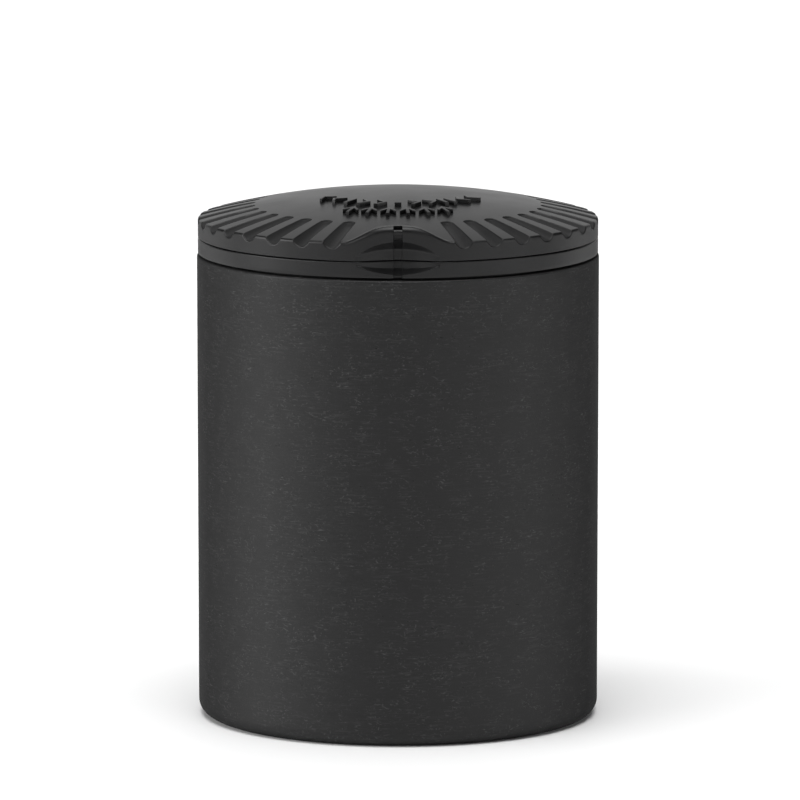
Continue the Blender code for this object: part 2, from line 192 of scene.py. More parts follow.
# Colours and gloss
JAR_DARK = (0.0115, 0.0115, 0.0117)
JAR_LIGHT = (0.014, 0.014, 0.0142)
JAR_CLOUD = (0.013, 0.013, 0.0132)
FIBRE_COLOUR = (0.04, 0.04, 0.0403)
PIT_COLOUR = (0.004, 0.004, 0.004)
LID_DARK = (0.0062, 0.0062, 0.0064)
LID_LIGHT = (0.0082, 0.0082, 0.0084)
# Painted shade for the groove floors: the colours of a duller copy of the lid plastic.
GROOVE_SHADE_DARK = (0.021, 0.021, 0.0212)
GROOVE_SHADE_LIGHT = (0.025, 0.025, 0.0252)
SEAL_DARK = (0.06, 0.06, 0.062)
SEAL_LIGHT = (0.085, 0.085, 0.087)
FLOOR_COLOUR = (0.915, 0.915, 0.915, 1.0)
JAR_GLOSS = 0.21
LID_GLOSS = 0.27
# Gloss of the painted shade on the groove floors.
GROOVE_SHADE_GLOSS = 0.035
SEAL_GLOSS = 0.4
FLOOR_GLOSS = 0.2

# Moulded fibres, in families: turn from level in degrees, length and width in millimetres, seed,
# and the noise levels at which a fibre starts and is full. The ripple and the pits are like them.
FIBRES = (
    (2.0, 1.1, 0.27, 3.1, 0.63, 0.75),
    (-24.0, 0.8, 0.27, 17.3, 0.655, 0.775),
    (35.0, 0.65, 0.27, 41.9, 0.655, 0.775),
    (85.0, 0.5, 0.3, 63.2, 0.655, 0.775),
)
RIPPLE = (0.0, 2.2, 0.22, 29.7, 0.5, 0.72)
RIPPLE_SHARE = 0.3
PITS = (-6.0, 0.7, 0.33, 88.4, 0.745, 0.78)

# Camera: a long lens, a little above the lid
CAMERA_DISTANCE = 43.118 * BODY_RADIUS
CAMERA_HEIGHT = 8.1654 * BODY_RADIUS
CAMERA_ACROSS = 0.01 * BODY_RADIUS
CAMERA_PITCH = 0.1517
CAMERA_LENS = 393.6
CAMERA_SENSOR = 36.0
FLOOR_RADIUS = 4.0

# Studio light: azimuth from the front, elevation, half angle (degrees), strength
SOFT_BOXES = (
    (0.0, 90.0, 25.0, 3.7),
    (0.0, 66.0, 20.0, 3.0),
    (-82.0, 13.0, 16.0, 5.8),
    (-55.0, 20.0, 15.0, 4.6),
    (38.0, 12.0, 15.0, 1.5),
    (70.0, 10.0, 15.0, 2.4),
    (180.0, 12.0, 34.0, 0.71),
)


def smooth_max(a, b, width):
    """The larger of two heights, with a round blend of the given width where they cross."""
    h = np.clip(0.5 + 0.5 * (a - b) / width, 0.0, 1.0)
    return b + (a - b) * h + width * h * (1.0 - h)


def smooth_min(a, b, width):
    return -smooth_max(-a, -b, width)


def ramp(value, start, end):
    """0 at start and 1 at end, straight between them."""
    return np.clip((value - start) / (end - start), 0.0, 1.0)


def dome(r, wall=0.0):
    return DOME_APEX - DOME_RADIUS + np.sqrt((DOME_RADIUS - wall) ** 2 - r ** 2)


def turn_from_front(angles):
    """Each angle as -180 to 180 degrees from the front."""
    return (angles + 180.0) % 360.0 - 180.0


def mark_mask(angles):
    return 1.0 - ramp(np.abs(turn_from_front(angles)), MARK_INSIDE, MARK_OUTSIDE)


def across_front(angles):
    """Distance across the front face, and far away at the sides and the back."""
    turned = turn_from_front(angles)
    across = LID_RADIUS * np.sin(np.radians(turned))
    return np.where(np.abs(turned) < FRONT_HALF_ANGLE, across, FAR_AWAY)


def arc_height(across, half_width, end, middle):
    """Height of a circular bow over the front, held at its end height outside it."""
    rise = middle - end
    radius = (half_width ** 2 + rise ** 2) / (2 * abs(rise))
    inside = np.clip(np.abs(across), 0.0, half_width)
    return middle - math.copysign(1.0, rise) * (radius - np.sqrt(radius ** 2 - inside ** 2))


def scoop_depth(angles):
    """How deep the thumb scoop's back wall lies behind the lid's side, fading out at its ends."""
    share = np.clip(across_front(angles) / SCOOP_HALF_WIDTH, -1.0, 1.0)
    return SCOOP_DEPTH * (1.0 - share ** 2) ** SCOOP_POWER


def groove_place(r, angles):
    """Where each column lies in the nearest grip groove: distance across it, and its half width."""
    number = np.clip(np.round(angles / GROOVE_PITCH), GROOVE_NUMBERS[0], GROOVE_NUMBERS[-1])
    across = r * np.radians(angles - number * GROOVE_PITCH)
    return across, GROOVE_HALF_WIDTH + GROOVE_WIDENING * np.maximum(r - GROOVE_START, 0.0)


def groove_start(angles):
    """How far beyond the first distance the round inner end of a groove starts in each column."""
    across, half_width = groove_place(GROOVE_START, angles)
    inside = np.clip(np.abs(across), 0.0, half_width)
    return GROOVE_END_CURVE * (half_width - np.sqrt(half_width ** 2 - inside ** 2))


def groove_depth(r, angles):
    """Depth of the grip grooves: rounded channels that widen and deepen outwards from a round end."""
    across, half_width = groove_place(r, angles)
    full = GROOVE_DEPTH + GROOVE_DEEPENING * np.maximum(r - GROOVE_START, 0.0)
    section = full * (1.0 - (np.abs(across) / half_width) ** GROOVE_POWER)
    along = np.clip((r - GROOVE_START - groove_start(angles)) / GROOVE_END_LENGTH, 0.0, 1.0)
    end = full * np.sqrt(1.0 - (1.0 - along) ** 2) - GROOVE_END_DROP
    depth = smooth_min(section, end, GROOVE_END_BLEND)
    depth = smooth_max(depth, np.zeros_like(depth), GROOVE_LIP)
    depth = depth * ramp(r, GROOVE_START - GROOVE_END_LENGTH, GROOVE_START)
    return np.where(np.abs(across) < GROOVE_REACH * half_width, depth, 0.0)


def brow_share(angles):
    """The brow's bell outline: 1 in the middle of the front, 0 away from it."""
    return np.exp(-(np.abs(across_front(angles)) / BROW_HALF_WIDTH) ** BROW_POWER)


def lid_top(r, angles):
    """Height of the lid's upper surface: dome, brow and grooves."""
    crest = BROW_FOOT + (BROW_CREST - BROW_FOOT) * brow_share(angles)
    brow = crest - BROW_FALL * (LID_RADIUS - r)
    return smooth_max(dome(r), brow, BROW_BLEND) - groove_depth(r, angles)


def lid_angles():
    """Angles of the lid's columns in degrees, closer together where its shape is finer."""
    angles = list(front_angles())
    for number in GROOVE_NUMBERS:
        centre = number * GROOVE_PITCH
        angles += [centre] + [centre + side * step for side in (-1, 1) for step in GROOVE_COLUMNS]
        angles.append(centre + GROOVE_PITCH / 2)
    return np.array(sorted({round(angle % 360.0, 4) for angle in angles}))


def front_angles():
    """Angles over the brow, the scoop, the mark, the lug and the bead's gap."""
    lug = math.degrees(math.asin(LUG_HALF_WIDTH / LUG_REACH))
    gap = math.degrees(math.asin(BEAD_GAP_HALF / MOUTH_RADIUS))
    scoop = math.degrees(math.asin(SCOOP_HALF_WIDTH / LID_RADIUS))
    half = [0.4, 0.8, 1.1, 1.2, MARK_INSIDE, MARK_OUTSIDE, 1.36, 1.45]
    half += [1.9 + 0.5 * step for step in range(27)]
    half += [lug - 0.1, lug, gap - 0.1, gap, scoop - 0.25, scoop - 0.1, scoop]
    return [0.0] + [side * angle for side in (-1, 1) for angle in half]


def new_mesh_object(name, mesh):
    item = bpy.data.objects.new(name, mesh)
    bpy.context.scene.collection.objects.link(item)
    return item


def finish_mesh(bm, name, sharp=35.0):
    mesh = bpy.data.meshes.new(name)
    bm.to_mesh(mesh)
    bm.free()
    mesh.shade_smooth()
    mesh.set_sharp_from_angle(angle=math.radians(sharp))
    return new_mesh_object(name, mesh)


def loft(name, rows, angles, closed):
    """A body lofted round the axis. Each row is (radius, height), one value or one a column.

    The rows run down the outer side and come back up inside. A closed loft joins its last row to
    its first, and an open one starts and ends on the axis.
    """
    count = len(angles)
    turned = np.radians(angles)
    points = []
    for radius, height in rows:
        r = np.broadcast_to(np.asarray(radius, float), (count,))
        z = np.broadcast_to(np.asarray(height, float), (count,))
        points.append(np.stack([r * np.sin(turned), -r * np.cos(turned), z], axis=1))
    bm = bmesh.new()
    grid = [[bm.verts.new(point) for point in row] for row in points]
    pairs = [(index, index + 1) for index in range(len(rows) - 1)]
    if closed:
        pairs.append((len(rows) - 1, 0))
    for upper, lower in pairs:
        for column in range(count):
            following = (column + 1) % count
            bm.faces.new((grid[upper][column], grid[lower][column],
                          grid[lower][following], grid[upper][following]))
    if not closed:
        ends = [vert for row in (grid[0], grid[-1]) for vert in row]
        bmesh.ops.remove_doubles(bm, verts=ends, dist=1e-8)
    return finish_mesh(bm, name)


def round_rows(centre_r, centre_z, radius, start, end, steps):
    """Rows of a round corner, from start to end in degrees, where 0 points out and 90 up."""
    rows = []
    for step in range(steps + 1):
        angle = math.radians(start + (end - start) * step / steps)
        rows.append((centre_r + radius * math.cos(angle), centre_z + radius * math.sin(angle)))
    return rows


def even_angles(count):
    return np.arange(count) * 360.0 / count


def make_jar():
    inner = BODY_RADIUS - JAR_WALL
    foot = BODY_RADIUS - BODY_DRAFT
    groove = REBATE_RADIUS + SNAP_DEPTH
    rim = INNER_RIM_ROUND
    nub = 1.6 * MM
    rows = [(0.0, FLOOR_TOP + 0.25 * MM), (nub - 0.4 * MM, FLOOR_TOP + 0.22 * MM), (nub, FLOOR_TOP)]
    rows += [((inner - FLOOR_CORNER) * share, FLOOR_TOP) for share in (0.3, 0.6, 0.9)]
    rows += round_rows(inner - FLOOR_CORNER, FLOOR_TOP + FLOOR_CORNER, FLOOR_CORNER, -90, 0,
                       FLOOR_CORNER_STEPS)
    rows += [(inner, height * MM) for height in (12, 22, 32, 42, 52, 60)]
    rows += [(inner, LEDGE_HEIGHT - 0.1 * MM), (inner + 0.1 * MM, LEDGE_HEIGHT)]
    rows += [(REBATE_RADIUS - 0.05 * MM, LEDGE_HEIGHT), (REBATE_RADIUS, LEDGE_HEIGHT + 0.05 * MM)]
    rows += [(REBATE_RADIUS, SNAP_HEIGHT - SNAP_HALF), (groove, SNAP_HEIGHT - SNAP_HALF / 2)]
    rows += [(groove, SNAP_HEIGHT + SNAP_HALF / 2), (REBATE_RADIUS, SNAP_HEIGHT + SNAP_HALF)]
    rows += [(REBATE_RADIUS, BODY_TOP - RIM_ROUND)]
    rows += round_rows(REBATE_RADIUS + rim, BODY_TOP - rim, rim, 180, 90, 3)
    rows += round_rows(BODY_RADIUS - RIM_ROUND, BODY_TOP - RIM_ROUND, RIM_ROUND, 90, 0, 6)
    heights = np.linspace(BODY_TOP - 1.2 * MM, FOOT_FILLET + 0.6 * MM, 24)
    rows += [(foot + BODY_DRAFT * height / BODY_TOP, height) for height in heights]
    rows += round_rows(foot - FOOT_FILLET, FOOT_FILLET, FOOT_FILLET, 0, -90, FOOT_STEPS)
    rows += [((foot - FOOT_FILLET + FOOT_INNER_RADIUS) / 2, 0.0)]
    rows += round_rows(FOOT_INNER_RADIUS, FOOT_INNER_ROUND, FOOT_INNER_ROUND, -90, -150, 4)
    recess = FOOT_INNER_RADIUS - 0.75 * MM
    rows += [(recess, FOOT_RECESS - 0.05 * MM), (recess - 0.1 * MM, FOOT_RECESS)]
    rows += [(share * recess, FOOT_RECESS) for share in (0.8, 0.5, 0.25)]
    rows += [(2.6 * MM, FOOT_RECESS), (2.4 * MM, FOOT_RECESS + 0.25 * MM)]
    rows += [(1.0 * MM, FOOT_RECESS + 0.25 * MM), (0.8 * MM, FOOT_RECESS + 0.05 * MM)]
    rows += [(0.0, FOOT_RECESS + 0.05 * MM)]
    return loft("jar_body", rows, even_angles(JAR_COLUMNS), closed=False)


def hollow_path(first, rise, drop):
    """Path into the scoop's hollow from its lip: up by the rise, then down to the back wall.

    Each point is (share of the depth, height above the lip). The path starts at the share first.
    """
    path = []
    for step in range(7):
        share = first + (HOLLOW_CREST - first) * step / 6
        path.append((share, rise * np.sin(math.pi / 2 * share / HOLLOW_CREST)))
    for step in range(1, 11):
        turn = math.pi / 2 * step / 10
        over, down = math.sin(turn) ** HOLLOW_SLANT, math.cos(turn) ** HOLLOW_SLANT
        path.append((HOLLOW_CREST + (1.0 - HOLLOW_CREST) * over,
                     rise - (rise + drop) * (1.0 - down)))
    return path


def scoop_wall(angles, mark):
    """The scoop in each column: its depth, that depth with the mark's added, the share of it
    where the mark's floor meets it, and the distance of its back wall from the axis."""
    depth = scoop_depth(angles)
    full = depth + MARK_SCOOP_DEPTH * mark * (depth > 0)
    first = np.where(depth > 0, MARK_DEPTH * mark / np.maximum(full, MARK_DEPTH), 0.0)
    return depth, full, first, LID_RADIUS - np.where(depth > 0, full, MARK_DEPTH * mark)


def seam_rows(face, low):
    """Rows of the small rounding from a side face to the level edge below it."""
    rows = []
    for turn in (0.0, 30.0, 60.0, 90.0):
        a = math.radians(turn)
        rows.append((face - SEAM_ROUND * (1 - math.cos(a)), low - SEAM_ROUND * math.sin(a)))
    return rows


def cap_side_rows(angles, face_top):
    """Rows down the cap's side from the edge rounding: the face, then the scoop's arch and wall."""
    mark = mark_mask(angles)
    depth, full, first, wall = scoop_wall(angles, mark)
    lip = arc_height(across_front(angles), SCOOP_HALF_WIDTH, SCOOP_TOP_END, SCOOP_TOP)
    rows = []
    for share, set_back in ((0.12, MARK_BRIDGE_DEPTH), (0.24, MARK_BRIDGE_DEPTH),
                            (MARK_BRIDGE_SHARE - 0.05, MARK_BRIDGE_DEPTH),
                            (MARK_BRIDGE_SHARE - 0.01, MARK_BRIDGE_EDGE),
                            (MARK_BRIDGE_SHARE, MARK_DEPTH),
                            (0.7, MARK_DEPTH), (0.88, MARK_DEPTH)):
        rows.append((LID_RADIUS - set_back * mark, face_top + (lip - face_top) * share))
    for number, (share, rise) in enumerate(hollow_path(first, SCOOP_ARCH, SCOOP_ARCH_DROP)):
        wall_top = lip + rise * depth / SCOOP_DEPTH - ROW_APART * number
        reach = np.where(depth > 0, full * share, MARK_DEPTH * mark)
        rows.append((LID_RADIUS - reach, wall_top))
    low = CAP_BOTTOM + SEAM_ROUND
    rows += [(wall, wall_top + (low - wall_top) * share) for share in (0.2, 0.45, 0.7, 0.9)]
    return rows + seam_rows(wall, low)


def cap_inner_rows(angles):
    """Rows under the cap, inwards: the seal's pocket, the plug with its rib and lug, the bore."""
    turned = np.abs(turn_from_front(angles))
    lug_edge = math.degrees(math.asin(LUG_HALF_WIDTH / LUG_REACH))
    lug = 1.0 - ramp(turned, lug_edge - 0.1, lug_edge)
    inner = PLUG_RADIUS - PLUG_WALL
    soft = 0.12 * MM
    rows = [(POCKET_RADIUS + soft, CAP_BOTTOM), (POCKET_RADIUS, CAP_BOTTOM + soft)]
    rows += [(POCKET_RADIUS, POCKET_TOP - soft), (POCKET_RADIUS - soft, POCKET_TOP)]
    rows += [(PLUG_RADIUS + 2 * soft, POCKET_TOP), (PLUG_RADIUS, POCKET_TOP - 2 * soft)]
    rows += [(PLUG_RADIUS, RIB_HEIGHT + 0.3 * MM), (RIB_RADIUS - 0.1 * MM, RIB_HEIGHT + 0.14 * MM)]
    rows += [(RIB_RADIUS, RIB_HEIGHT + 0.02 * MM), (RIB_RADIUS - 0.1 * MM, RIB_HEIGHT - 0.12 * MM)]
    rows += [(PLUG_RADIUS, RIB_HEIGHT - 0.4 * MM), (PLUG_RADIUS, LUG_TOP + 0.02 * MM)]
    reach = LUG_REACH - PLUG_RADIUS
    for height, share in ((LUG_TOP, 0.85), (LUG_TOP - soft, 1.0), (LUG_BOTTOM + 3 * soft, 1.0),
                          (LUG_BOTTOM, 0.7)):
        rows.append((PLUG_RADIUS + reach * share * lug, height))
    rows += [(PLUG_RADIUS, LUG_BOTTOM - 0.02 * MM), (PLUG_RADIUS, PLUG_BOTTOM + 0.5 * MM)]
    rows += [(PLUG_RADIUS - 0.2 * MM, PLUG_BOTTOM + 0.1 * MM), (PLUG_RADIUS - 0.4 * MM, PLUG_BOTTOM)]
    rows += [(inner + 0.25 * MM, PLUG_BOTTOM), (inner, PLUG_BOTTOM + 0.25 * MM)]
    ceiling = dome(inner, DOME_WALL)
    rows += [(inner, 69.0 * MM), (inner, ceiling - 0.9 * MM)]
    rows += [(inner - 0.3 * MM, ceiling - 0.3 * MM), (inner - 0.9 * MM, dome(inner - 0.9 * MM, DOME_WALL))]
    for share in (0.8, 0.6, 0.4, 0.2):
        rows.append((inner * share, dome(inner * share, DOME_WALL)))
    nub = 1.5 * MM
    under = dome(0.0, DOME_WALL)
    rows += [(nub, under), (nub - 0.3 * MM, under - 0.3 * MM), (0.0, under - 0.3 * MM)]
    return rows


def lid_top_rows(angles, mark):
    """Rows over the dome and the grooves from the middle outwards, up to the brow's notch."""
    rows = [(0.0, DOME_APEX)]
    for radius in DOME_ROWS + GROOVE_END_ROWS + GROOVE_ROWS:
        bend = ramp(radius, *ROWS_BEND_OUT) * (1.0 - ramp(radius, *ROWS_BEND_BACK))
        r = radius * MM + groove_start(angles) * bend
        rows.append((r, lid_top(r, angles)))
    notch = LID_RADIUS - NOTCH_LENGTH
    under = notch + NOTCH_STEP - NOTCH_UNDERCUT * mark
    rows.append((notch, lid_top(notch, angles)))
    rows.append((under, lid_top(notch + NOTCH_STEP, angles) - NOTCH_DROP * mark))
    return rows


def edge_rounding(angles, mark):
    """How round the lid's edge is in each column: its reach inwards and its height."""
    reach = EDGE_ROUND + (BROW_EDGE_ROUND - EDGE_ROUND) * brow_share(angles)
    in_groove = np.clip(groove_depth(LID_RADIUS, angles) / GROOVE_FULL_DEPTH, 0.0, 1.0)
    reach = reach + (GROOVE_EDGE_ROUND - reach) * in_groove
    reach = reach + (EDGE_ROUND - reach) * mark
    return reach, reach * (1.0 + EDGE_STRETCH * (1.0 - brow_share(angles)))


def cap_edge_rows(angles, mark):
    """Rows from the brow's notch to the lid's edge, and round the edge on to the side face."""
    reach, height = edge_rounding(angles, mark)
    centre = LID_RADIUS - MARK_BRIDGE_DEPTH * mark - reach
    climb = lid_top(centre + SLOPE_STEP, angles) - lid_top(centre - SLOPE_STEP, angles)
    lean = np.clip(-np.arctan(climb / (2 * SLOPE_STEP)), *LEAN_LIMITS)
    edge = centre + reach * np.sin(lean)
    notch = LID_RADIUS - NOTCH_LENGTH
    rows = []
    for share in (0.1, 0.25, 0.45, 0.65, 0.85, 1.0):
        radius = notch + (edge - notch) * share
        rows.append((radius, lid_top(radius, angles) - NOTCH_DROP * mark))
    crest = rows[-1][1]
    for share in (0.14, 0.28, 0.42, 0.57, 0.71, 0.86, 1.0):
        a = lean + (math.pi / 2 - lean) * share
        rows.append((centre + reach * np.sin(a), crest - height * (np.cos(lean) - np.cos(a))))
    return rows


def make_cap():
    angles = lid_angles()
    mark = mark_mask(angles)
    rows = lid_top_rows(angles, mark) + cap_edge_rows(angles, mark)
    rows += cap_side_rows(angles, rows[-1][1])
    rows += cap_inner_rows(angles)
    return loft("cap_body", rows, angles, closed=False)


def paint_groove_shade(cap, material):
    """Paints shade on the grip grooves' floors: a duller copy of the lid plastic that looks darker than
    the polished lands between them.
    """
    count = len(cap.data.polygons)
    middles, normals = np.empty(count * 3), np.empty(count * 3)
    cap.data.polygons.foreach_get("center", middles)
    cap.data.polygons.foreach_get("normal", normals)
    x, y, z = middles.reshape(count, 3).T
    r = np.hypot(x, y)
    angles = np.degrees(np.arctan2(x, -y)) % 360.0
    deep = groove_depth(r, angles) > GROOVE_FLOOR_FROM
    on_top = (normals[2::3] > 0.0) & (z > COLLAR_TOP) & (r > GROOVE_START)
    inside = on_top & deep & (r < LID_RADIUS - GROOVE_EDGE_ROUND)
    cap.data.materials.append(material)
    cap.data.polygons.foreach_set("material_index", inside.astype(np.int32))


def make_collar():
    angles = np.array(sorted({round(a % 360.0, 4) for a in front_angles()}
                             | {round(a, 4) for a in even_angles(180) if 15.0 < a < 345.0}))
    mark = mark_mask(angles)
    depth, full, first, wall = scoop_wall(angles, mark)
    face = LID_RADIUS - MARK_DEPTH * mark
    lip = arc_height(across_front(angles), SCOOP_HALF_WIDTH, SCOOP_BOTTOM_END, SCOOP_BOTTOM)
    rows = [(MOUTH_RADIUS + 0.2 * MM, COLLAR_TOP), (MOUTH_RADIUS + 0.9 * MM, COLLAR_TOP)]
    rows += [(wall - COLLAR_ROUND - 0.2 * MM, COLLAR_TOP)]
    high = COLLAR_TOP - COLLAR_ROUND
    for turn in (90.0, 70.0, 50.0, 30.0, 15.0, 0.0):
        a = math.radians(turn)
        rows.append((wall - COLLAR_ROUND * (1 - math.cos(a)), high + COLLAR_ROUND * math.sin(a)))
    path = hollow_path(first, SCOOP_SAG, SCOOP_SAG_RISE)
    floor_top = lip + SCOOP_SAG_RISE * depth / SCOOP_DEPTH + ROW_APART * len(path)
    rows += [(wall, high + (floor_top - high) * share) for share in (0.3, 0.6, 0.85)]
    for number, (share, rise) in reversed(list(enumerate(path))):
        reach = np.where(depth > 0, full * share, MARK_DEPTH * mark)
        rows.append((LID_RADIUS - reach, lip - rise * depth / SCOOP_DEPTH + ROW_APART * number))
    low = COLLAR_BOTTOM + SEAM_ROUND
    rows += [(face, lip + (low - lip) * share) for share in (0.15, 0.4, 0.7)]
    rows += seam_rows(face, low) + collar_inner_rows(angles)
    return loft("collar_body", rows, angles, closed=True)


def collar_inner_rows(angles):
    """Rows under the collar's band: down the spigot, and up the mouth with its interrupted bead."""
    gap = math.degrees(math.asin(BEAD_GAP_HALF / MOUTH_RADIUS))
    bead = ramp(np.abs(turn_from_front(angles)), gap - 0.1, gap)
    groove = SPIGOT_RADIUS - SEAL_GROOVE_DEPTH
    snap = SPIGOT_RADIUS + SNAP_DEPTH
    soft = 0.15 * MM
    rows = [(SPIGOT_RADIUS + soft, COLLAR_BOTTOM), (SPIGOT_RADIUS, COLLAR_BOTTOM - soft)]
    rows += [(SPIGOT_RADIUS, SEAL_GROOVE_TOP), (groove, SEAL_GROOVE_TOP)]
    rows += [(groove, SEAL_GROOVE_BOTTOM), (SPIGOT_RADIUS, SEAL_GROOVE_BOTTOM)]
    half = SNAP_HALF - SNAP_PLAY
    rows += [(SPIGOT_RADIUS, SNAP_HEIGHT + half), (snap, SNAP_HEIGHT + half / 2)]
    rows += [(snap, SNAP_HEIGHT - half / 2), (SPIGOT_RADIUS, SNAP_HEIGHT - half)]
    rows += [(SPIGOT_RADIUS, SPIGOT_BOTTOM + 2 * soft), (SPIGOT_RADIUS - 2 * soft, SPIGOT_BOTTOM)]
    rows += [(MOUTH_RADIUS + 2 * soft, SPIGOT_BOTTOM), (MOUTH_RADIUS, SPIGOT_BOTTOM + 2 * soft)]
    rows += [(MOUTH_RADIUS, 66.0 * MM), (MOUTH_RADIUS, BEAD_BOTTOM)]
    reach = MOUTH_RADIUS - BEAD_RADIUS
    top = BEAD_BOTTOM + BEAD_HEIGHT
    for height, share in ((BEAD_BOTTOM + 0.06 * MM, 0.12), (BEAD_BOTTOM + 0.34 * MM, 0.9),
                          (BEAD_BOTTOM + 0.5 * MM, 1.0), (top - 0.9 * MM, 1.0),
                          (top - 0.72 * MM, 0.93), (top - 0.08 * MM, 0.1)):
        rows.append((MOUTH_RADIUS - reach * share * bead, height))
    rows += [(MOUTH_RADIUS, top), (MOUTH_RADIUS, COLLAR_TOP - 0.2 * MM)]
    return rows


def make_lid_seal():
    """A soft ring with rounded corners and a thin groove between two sealing beads below."""
    inner = -SEAL_LOW.x - LID_SEAL_WIDTH
    outer = SEAL_HIGH.x
    soft = 0.25 * MM
    middle = (inner + outer) / 2
    rows = round_rows(inner + soft, SEAL_HIGH.z - soft, soft, 180, 90, 4)
    rows += round_rows(outer - soft, SEAL_HIGH.z - soft, soft, 90, 0, 4)
    rows += round_rows(outer - soft, SEAL_LOW.z + soft, soft, 0, -90, 4)
    rows += [(middle + 0.35 * MM, SEAL_LOW.z), (middle + 0.15 * MM, SEAL_LOW.z + 0.25 * MM)]
    rows += [(middle - 0.15 * MM, SEAL_LOW.z + 0.25 * MM), (middle - 0.35 * MM, SEAL_LOW.z)]
    rows += round_rows(inner + soft, SEAL_LOW.z + soft, soft, -90, -180, 4)
    return loft("lid_seal_ring", rows, even_angles(SEAL_COLUMNS), closed=True)


def make_collar_seal():
    low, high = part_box("collar_seal")
    half_width = COLLAR_SEAL_HALF_WIDTH
    half_height = (high.z - low.z) / 2
    centre_r = high.x - half_width
    centre_z = (low.z + high.z) / 2
    rows = []
    for step in range(16):
        a = math.tau * (0.5 - step / 16)
        rows.append((centre_r + half_width * math.cos(a), centre_z + half_height * math.sin(a)))
    return loft("collar_seal_ring", rows, even_angles(180), closed=True)


def at_front(outline, turn, distance):
    """Places a flat outline, drawn upright about its own middle, round the axis from the front."""
    a = math.radians(turn)
    placed = []
    for across, up in outline:
        reach = distance - up
        placed.append((across * math.cos(a) + reach * math.sin(a),
                       across * math.sin(a) - reach * math.cos(a)))
    return placed


def chevron(point):
    """An open arrowhead that points across, to one side or the other."""
    back, tip, half, thick = -0.85 * MM, 0.95 * MM, 1.3 * MM, 0.6 * MM
    outline = [(back, half), (back + thick, half), (tip, 0.0), (back + thick, -half),
               (back, -half), (tip - thick, 0.0)]
    return [(point * x, y) for x, y in outline]


def lift_arrow():
    """An upright arrow with an open head."""
    wing, low, tip, foot, thick = 1.15 * MM, 0.15 * MM, 1.4 * MM, -1.4 * MM, 0.62 * MM
    half = PICTO_STROKE / 2
    neck = tip - thick - half * (tip - low) / wing
    side = [(wing, low), (wing, low - thick), (half, neck), (half, foot)]
    return [(0.0, tip)] + side + [(-x, y) for x, y in side[::-1]]


def bar(half_width, half_height):
    return [(-half_width, -half_height), (half_width, -half_height),
            (half_width, half_height), (-half_width, half_height)]


def pictogram_outlines():
    """Generic moulded signs: turn either way, marks that meet, and a row of lift arrows."""
    stick = bar(0.6 * PICTO_STROKE, 1.3 * MM)
    upper = [(-57.5, chevron(-1)), (-45.5, chevron(-1)), (-34.0, stick), (-23.0, chevron(1)),
             (-11.5, chevron(1)), (0.0, bar(0.5 * MM, 0.5 * MM)), (11.5, chevron(1)),
             (22.5, chevron(1)), (31.5, stick), (38.0, stick), (47.5, chevron(-1)),
             (58.5, chevron(-1))]
    lower = [(turn, lift_arrow()) for turn in LIFT_ARROW_TURNS]
    outlines = [at_front(outline, turn, UPPER_ROW) for turn, outline in upper]
    return outlines + [at_front(outline, turn, LOWER_ROW) for turn, outline in lower]


def make_pictograms():
    """The signs as low prisms with rounded top edges, laid on the dome."""
    bm = bmesh.new()
    for outline in pictogram_outlines():
        curve = bpy.data.curves.new("sign", "CURVE")
        curve.dimensions = "2D"
        curve.fill_mode = "BOTH"
        curve.extrude = (PICTO_RISE + PICTO_SINK) / 2 - PICTO_ROUND
        curve.bevel_depth = PICTO_ROUND
        curve.bevel_resolution = 2
        curve.offset = -PICTO_ROUND
        spline = curve.splines.new("POLY")
        spline.points.add(len(outline) - 1)
        for point, (x, y) in zip(spline.points, outline):
            point.co = (x, y, 0.0, 1.0)
        spline.use_cyclic_u = True
        guide = new_mesh_object("sign_guide", curve)
        bpy.context.view_layer.update()
        evaluated = guide.evaluated_get(bpy.context.evaluated_depsgraph_get())
        mesh = bpy.data.meshes.new_from_object(evaluated)
        bm.from_mesh(mesh)
        bpy.data.objects.remove(guide, do_unlink=True)
        bpy.data.meshes.remove(mesh)
    bmesh.ops.remove_doubles(bm, verts=bm.verts, dist=1e-7)
    lift = (PICTO_RISE - PICTO_SINK) / 2
    for vert in bm.verts:
        height = vert.co.z + float(dome(math.hypot(vert.co.x, vert.co.y))) + lift
        vert.co.z = min(height, DOME_APEX - PICTO_CLEAR)
    bmesh.ops.recalc_face_normals(bm, faces=bm.faces)
    return finish_mesh(bm, "cap_pictograms", sharp=40.0)


